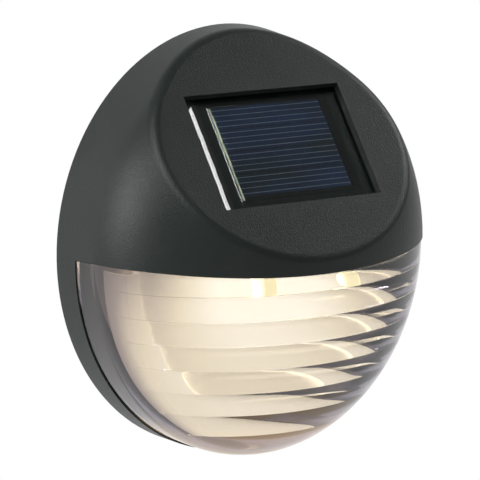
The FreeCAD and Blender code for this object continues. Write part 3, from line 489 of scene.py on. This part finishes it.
def smokyPlastic():
    look = Finish("smoky_lens_plastic")
    start, end = lensPlan["footGlowFrom"] * mm, lensPlan["footGlowTo"] * mm
    low = look.spread(look.axis("Z"), start, end, 0.0, 1.0, smoothly=True)
    glow = look.tones(low, (0.0, (0.0, 0.0, 0.0)), (1.0, lensPlan["footGlowColour"]))
    look.set(Base_Color=lensPlan["colour"], Roughness=0.015, IOR=1.49, Transmission_Weight=1.0,
             Specular_IOR_Level=0.2, Emission_Color=glow, Emission_Strength=lensPlan["footGlowStrength"])
    return look


lens = makeLens()
coat(lens, smokyPlastic())
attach(lens, "case")
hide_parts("lens")
print("lens:", len(lens.data.polygons), "faces")


# Lamps and reflector

lampPlan = {
    "halfSpacing": 13.6,
    "depth": 45.5,
    "glowHeight": -1.0,
    "fullLightAt": 18.0,    # at this distance a lamp's light counts once, nearer more, farther less
    "sideLight": 0.25,    # what a lamp sends to its sides and back
    "lightPower": 0.6,    # under 1 evens the light out
    "reflectorColour": srgb(226, 222, 212),
    "reflectorGlow": [(0.0, (0.03, 0.03, 0.025)), (0.30, (0.29, 0.27, 0.19)),
                      (0.55, (0.71, 0.70, 0.43)), (0.80, (0.93, 0.98, 0.69))],
    "reflectorStrength": 5.2,
    "reflectorOutside": 44.9,    # from this far out, past the cup's wall, there is little light
    "reflectorWall": 0.3,
    "outsideLight": 0.15,
    "lipDepth": 28.6,
    "lipInner": 43.6,
    "lipRatio": 1.05,
    "lipThick": 0.6,
    "lipGap": 1.2,
    "lipFloor": 1.0,
    "lipTurn": (181, 359),    # degrees round the lower half
    "lipMesh": (160, 9),    # turns and rows
    "lipBoost": 1.35,
    "lipDimBack": 20.0,    # from this depth back the sleeve has only this share of its light
    "lipDim": 0.55,
    "lipDimFront": 27.0,    # and from this depth forward all of it
    "skirtBack": 20.0,
    "trayColour": srgb(225, 225, 220),
    "trayGlow": [(0.0, (0.0, 0.0, 0.0)), (0.35, (0.35, 0.34, 0.18)),
                 (0.50, (0.88, 0.88, 0.40)), (1.0, (1.0, 1.0, 0.50))],
    "trayFade": (-6.5, 7.0),    # heights of full light and of none
    "collarEdge": (1.8, 2.9),    # the collars are brighter at their sides
    "collarStrength": (5.0, 10.0),
    "epoxyColour": (1.0, 0.94, 0.72, 1),
    "epoxyGlow": [(0.0, (0.30, 0.28, 0.20)), (1.0, (1.0, 0.95, 0.72))],
    "epoxyStrength": 8.0,
    "epoxyFade": 4.0,    # the glow grows downwards from this height
}


def lampLight(look):
    # how strongly the two lamps light a place
    total = None
    for side in (-1, 1):
        lamp = Vector((side * lampPlan["halfSpacing"], -lampPlan["depth"], lampPlan["glowHeight"])) * mm
        away = look.node("VectorMath", {0: look.where, 1: lamp}, operation="SUBTRACT").outputs[0]
        span = look.node("VectorMath", {0: away}, operation="LENGTH").outputs["Value"]
        down = look.math("DIVIDE", look.node("SeparateXYZ", {0: away}).outputs["Z"], span)
        below = look.math("MAXIMUM", look.math("MULTIPLY", down, -1.0), 0.0)
        aimed = look.math("ADD", below, lampPlan["sideLight"])
        near = look.math("MULTIPLY", aimed, (lampPlan["fullLightAt"] * mm) ** 2)
        share = look.math("DIVIDE", near, look.math("POWER", span, 2.0))
        total = share if total is None else look.math("ADD", total, share)
    return total


def litReflector(name, boost, outside=None):
    look = Finish(name)
    light = look.math("MULTIPLY", look.math("POWER", lampLight(look), lampPlan["lightPower"]), boost)
    if outside is None:
        back, front = -lampPlan["lipDimBack"] * mm, -lampPlan["lipDimFront"] * mm
        shade = look.spread(look.axis("Y"), back, front, lampPlan["lipDim"], 1.0)
    else:
        x, z = look.axis("X"), look.math("DIVIDE", look.axis("Z"), lampPlan["lipRatio"])
        squares = look.math("ADD", look.math("MULTIPLY", x, x), look.math("MULTIPLY", z, z))
        inside = (outside - lampPlan["reflectorWall"]) * mm
        shade = look.spread(look.math("SQRT", squares), inside, outside * mm, 1.0, lampPlan["outsideLight"])
    light = look.math("MULTIPLY", light, shade)
    glow = look.tones(light, *lampPlan["reflectorGlow"])
    look.set(Base_Color=(*lampPlan["reflectorColour"], 1), Roughness=0.5, Emission_Color=glow,
             Emission_Strength=lampPlan["reflectorStrength"])
    look.bump(look.noise(700, detail=3), strength=0.15, distance=0.0001)
    return look


def litTray():
    look = Finish("lit_tray")
    full, none = (height * mm for height in lampPlan["trayFade"])
    glow = look.tones(look.spread(look.axis("Z"), full, none, 1.0, 0.0), *lampPlan["trayGlow"])
    fromMiddle = look.math("ABSOLUTE", look.axis("X"))
    beside = look.math("ABSOLUTE", look.math("SUBTRACT", fromMiddle, lampPlan["halfSpacing"] * mm))
    near, outer = (span * mm for span in lampPlan["collarEdge"])
    strength = look.spread(beside, near, outer, *lampPlan["collarStrength"], smoothly=True)
    look.set(Base_Color=(*lampPlan["trayColour"], 1), Roughness=0.45, Emission_Color=glow,
             Emission_Strength=strength)
    look.bump(look.noise(900, detail=2), strength=0.1, distance=0.0001)
    return look


def lampEpoxy():
    look = Finish("lamp_epoxy")
    light = look.spread(look.axis("Z"), lampPlan["epoxyFade"] * mm, 0.0, 0.0, 1.0, smoothly=True)
    glow = look.tones(light, *lampPlan["epoxyGlow"])
    look.set(Base_Color=lampPlan["epoxyColour"], Roughness=0.15, Emission_Color=glow,
             Emission_Strength=lampPlan["epoxyStrength"])
    return look


def addReflectorLip():
    # a thin bright sleeve inside the reflector, a lip to the lens and a skirt behind it
    wall = lensPlan["inset"] + lensPlan["wall"]
    width, depth = crownSize(wall + lampPlan["lipGap"])
    front, back, thick = lampPlan["lipDepth"], lampPlan["skirtBack"], lampPlan["lipThick"]
    inner, flat, tall = lampPlan["lipInner"], lampPlan["lipRatio"], form["heightRatio"]
    lowest = lensPlan["floorGap"] + lampPlan["lipFloor"] - crownSize(wall + lensPlan["stepAtFoot"])[0] * tall
    turns, rows = lampPlan["lipMesh"]
    skirt = [(width * math.sqrt(1 - (max(0.0, place - form["crownCentre"]) / depth) ** 2), place, tall)
             for place in np.linspace(front, back, rows)]
    profile = [(inner, back, flat), (inner, front, flat)] + skirt
    profile += [(r - thick, max(d - thick, back), ratio) for r, d, ratio in reversed(skirt)]
    profile += [(inner + thick, front - thick, flat), (inner + thick, back, flat)]
    start, end = (math.radians(degrees) for degrees in lampPlan["lipTurn"])
    rings = []
    for turn in np.linspace(start, end, turns):
        c, s = math.cos(turn), math.sin(turn)
        rings.append([Vector((r * c, -d, max(lowest, r * ratio * s))) * mm for r, d, ratio in profile])
    vertices, faces = loft(rings)
    lip = newPiece("reflector_lip", vertices, faces)
    coat(lip, litReflector("lit_lip", lampPlan["lipBoost"]))
    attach(lip, "case")


dress(litReflector("lit_reflector", 1.0, lampPlan["reflectorOutside"]), "reflector")
addReflectorLip()
dress(litTray(), "led_tray")
dress(lampEpoxy(), "led_left", "led_right")
print("lamps and reflector ready")


# Solar panel: four strips with silver lines, a soldered bus bar, clear cover and its resin edge

panelPlan = {
    "resinTop": -2.85,
    "boardFace": -4.30,
    "cells": 4,
    "cellRight": 20.0,
    "cellBottom": -13.10,
    "cellHeight": 6.9,
    "cellGap": 0.4,
    "cellThick": 0.25,
    "linesPerCell": 4,
    "lineWidth": 0.15,
    "lineThick": 0.03,
    "lineEnd": 0.15,
    "busLeft": -17.3,
    "busWidth": 0.85,
    "busTail": 1.2,
    "busRows": 90,
    "busSeed": 7,
    "busEven": 9,    # how many rows are averaged
    "busInset": 0.10,
    "busLeftWander": 0.16,
    "busRightWander": 0.20,
    "busLift": 0.07,
    "busLiftWander": 0.03,
    "busEdge": 0.05,    # the ribbon's edge is this wide and rises to this share
    "busEdgeRise": 0.7,
    "busRound": 0.25,
    "busSmoothDegrees": 40,
    "beadReach": 4.5,
    "beadRise": 1.15,
    "beadGap": 0.02,
    "beadEnd": 0.3,
    "beadLift": 0.01,
    "beadMesh": (40, 13),    # rows and steps
    "beadShare": 0.98,    # how much of its reach is made, since it runs out to nothing
    "beadSmoothDegrees": 50,
}


def facetBox(x, rise, out):
    corners = [(x[0], rise[0]), (x[1], rise[0]), (x[1], rise[1]), (x[0], rise[1])]
    return loft([[onFacet(a, b, o) for a, b in corners] for o in out])


def addSilverLines():
    p = panelPlan
    vertices, faces = [], []
    base = p["boardFace"] + p["cellThick"]
    ends = (p["busLeft"] + p["busWidth"] / 2, p["cellRight"] - p["lineEnd"])
    for cell in range(p["cells"]):
        low = p["cellBottom"] + cell * (p["cellHeight"] + p["cellGap"])
        for line in range(p["linesPerCell"]):
            middle = low + p["cellHeight"] * (line + 0.5) / p["linesPerCell"]
            sides = (middle - p["lineWidth"] / 2, middle + p["lineWidth"] / 2)
            some, around = facetBox(ends, sides, (base, base + p["lineThick"]))
            faces += [tuple(i + len(vertices) for i in face) for face in around]
            vertices += some
    lines = newPiece("silver_lines", vertices, faces)
    coat(lines, printedSilver())
    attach(lines, "case")


def addBusBar():
    # a hand-tinned ribbon, so its edges and its top are uneven
    p = panelPlan
    rng = np.random.default_rng(p["busSeed"])
    count, even = p["busRows"], p["busEven"]
    bottom = p["cellBottom"] - p["busTail"]
    top = p["cellBottom"] + p["cells"] * p["cellHeight"] + (p["cells"] - 1) * p["cellGap"]
    base = p["boardFace"] + p["cellThick"]
    kernel = np.hanning(even) / np.hanning(even).sum()
    left, right, high = (np.convolve(rng.uniform(-1, 1, count + even - 1), kernel, "valid") for _ in range(3))
    rings = []
    for i, rise in enumerate(np.linspace(bottom, top, count)):
        a = p["busLeft"] + p["busInset"] + p["busLeftWander"] * left[i]
        b = p["busLeft"] + p["busWidth"] - p["busInset"] + p["busRightWander"] * right[i]
        lift = p["busLift"] + p["busLiftWander"] * high[i]
        edgeLift = lift * p["busEdgeRise"]
        shape = [(a, 0.0), (a + p["busEdge"], edgeLift), (a + p["busRound"], lift),
                 (b - p["busRound"], lift), (b - p["busEdge"], edgeLift), (b, 0.0)]
        rings.append([onFacet(x, rise, base + z) for x, z in shape])
    vertices, faces = loft(rings)
    ribbon = smooth(newPiece("tinned_ribbon", vertices, faces), p["busSmoothDegrees"])
    coat(ribbon, tinnedCopper())
    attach(ribbon, "case")
    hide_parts("cell_bus_bar")


def addResinBead():
    # the cast cover creeps up the window's left wall
    p = panelPlan
    wall, end = -form["windowWidth"] / 2 + p["beadGap"], form["windowHeight"] / 2 - p["beadEnd"]
    base = p["resinTop"] + p["beadLift"]
    rows, steps = p["beadMesh"]
    rings = []
    for rise in np.linspace(-end, end, rows):
        ring = [onFacet(wall + p["beadReach"], rise, base), onFacet(wall, rise, base)]
        for share in np.linspace(0, p["beadShare"], steps):
            out = base + p["beadLift"] + p["beadRise"] * (1 - share) ** 2
            ring.append(onFacet(wall + p["beadReach"] * share, rise, out))
        rings.append(ring)
    vertices, faces = loft(rings)
    bead = smooth(newPiece("resin_bead", vertices, faces), p["beadSmoothDegrees"])
    coat(bead, clearResin("resin_bead_clear", 0.5))
    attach(bead, "case")


def clearResin(name, gloss):
    return Finish(name).set(Base_Color=(0.96, 0.99, 0.97, 1), Roughness=0.02, IOR=1.45,
                            Transmission_Weight=1.0, Specular_IOR_Level=gloss)


def printedSilver():
    look = Finish("printed_silver")
    tone = look.tones(look.noise(1500, detail=3), (0.3, srgb(98, 112, 122)), (0.7, srgb(132, 146, 152)))
    look.set(Base_Color=tone, Roughness=0.5, Metallic=0.6)
    return look


def tinnedCopper():
    look = Finish("tinned_copper")
    patch = look.noise(1400, detail=4, roughness=0.6)
    tone = look.tones(patch, (0.3, srgb(140, 148, 126)), (0.7, srgb(190, 198, 176)))
    dull = look.spread(look.noise(2500, detail=2), 0.3, 0.7, 0.25, 0.5)
    look.set(Base_Color=tone, Metallic=0.7, Roughness=dull)
    look.bump(look.noise(2600, detail=3), strength=0.5, distance=0.00005)
    return look


def silicon():
    look = Finish("solar_silicon")
    patch = look.noise(60, detail=2, where=look.stretched(0.4, 1.0, 1.6))
    tone = look.tones(patch, (0.30, srgb(16, 33, 42)), (0.45, srgb(17, 34, 58)), (0.60, srgb(23, 43, 76)),
                      (0.72, srgb(24, 38, 58)))
    look.set(Base_Color=tone, Roughness=0.35, Specular_IOR_Level=0.1)
    return look


def laminate():
    look = Finish("panel_laminate")
    tone = look.tones(look.noise(500, detail=3), (0.3, srgb(4, 17, 14)), (0.7, srgb(8, 24, 21)))
    look.set(Base_Color=tone, Roughness=0.35, Specular_IOR_Level=0.1)
    return look


def foam():
    look = Finish("seal_foam")
    tone = look.tones(look.noise(2500, detail=2), (0.3, srgb(12, 12, 12)), (0.7, srgb(30, 30, 30)))
    look.set(Base_Color=tone, Roughness=0.9)
    look.bump(look.noise(3000, detail=2), strength=0.5, distance=0.0001)
    return look


addSilverLines()
addBusBar()
addResinBead()
dress(silicon(), "solar_cells")
dress(laminate(), "panel_board")
dress(foam(), "panel_seal")
dress(clearResin("panel_resin_clear", 0.1), "panel_resin")
print("solar panel ready")


# Housing: dark grained plastic

housingPlan = {
    "hoodColours": (srgb(17, 23, 21), srgb(22, 28, 26)),
    "backColours": (srgb(14, 19, 18), srgb(19, 24, 23)),
    "backGrain": 0.7,
    "grainScale": 2500,
    "grainStrength": 0.75,
    "grainDepth": 0.00015,
    "waveScale": 520,    # the slight unevenness under the grain
    "waveStrength": 0.03,
    "waveDepth": 0.0002,
}


def grainedPlastic(name, dark, light, grain=1.0):
    look = Finish(name)
    h = housingPlan
    patch = look.noise(45, detail=4, roughness=0.55)
    fine = look.noise(h["grainScale"], detail=2, roughness=0.6)
    look.set(Base_Color=look.tones(patch, (0.35, dark), (0.65, light)), IOR=1.46,
             Specular_IOR_Level=0.3, Roughness=look.spread(fine, 0.3, 0.7, 0.34, 0.48))
    coarse = look.bump(look.noise(h["waveScale"], detail=2), h["waveStrength"] * grain, h["waveDepth"])
    look.bump(fine, h["grainStrength"] * grain, h["grainDepth"], under=coarse)
    return look


dress(grainedPlastic("hood_plastic", *housingPlan["hoodColours"]), "front_housing")
dress(grainedPlastic("back_plastic", *housingPlan["backColours"], housingPlan["backGrain"]),
      "back_plate", "battery_cover")
print("housing ready")


# Inner pieces, the switch and the screws

innerFinishes = {    # dark and light tone, size of the speckles, roughness, metal, pieces
    "zinc_steel": ((0.50, 0.50, 0.48), (0.70, 0.70, 0.67), 900, 0.32, 1.0,
                   ("back_screws", "board_screws")),
    "nickel_steel": ((0.58, 0.56, 0.52), (0.72, 0.70, 0.66), 1200, 0.25, 1.0,
                     ("battery_spring", "positive_contact", "negative_contact")),
    "board_green": (srgb(22, 74, 44), srgb(32, 96, 60), 300, 0.4, 0.0, ("circuit_board",)),
    "chip_black": (srgb(20, 20, 21), srgb(30, 30, 32), 900, 0.5, 0.0, ("controller_chip",)),
    "coil_copper": ((0.55, 0.24, 0.12), (0.80, 0.40, 0.22), 1500, 0.35, 1.0, ("charge_inductor",)),
    "capacitor_sleeve": (srgb(36, 42, 58), srgb(46, 52, 70), 400, 0.35, 0.0, ("capacitor",)),
    "gasket_rubber": (srgb(22, 22, 22), srgb(34, 34, 34), 700, 0.8, 0.0, ("back_gasket",)),
    "battery_jacket": (srgb(34, 108, 62), srgb(44, 126, 76), 150, 0.3, 0.0, ("battery",)),
    "switch_plastic": (srgb(20, 20, 22), srgb(30, 30, 33), 600, 0.4, 0.0,
                       ("switch_body", "switch_slider")),
    "wire_sleeve": (srgb(136, 26, 26), srgb(160, 36, 34), 400, 0.45, 0.0,
                    ("panel_leads", "battery_leads", "switch_leads")),
}


def speckled(name, dark, light, scale, roughness, metallic):
    look = Finish(name)
    tone = look.tones(look.noise(scale, detail=3), (0.3, dark), (0.7, light))
    look.set(Base_Color=tone, Roughness=roughness, Metallic=metallic)
    look.bump(look.noise(scale * 2, detail=2), strength=0.2, distance=0.00005)
    return look


for name, (*settings, pieces) in innerFinishes.items():
    dress(speckled(name, *settings), *pieces)
print("finishes set")
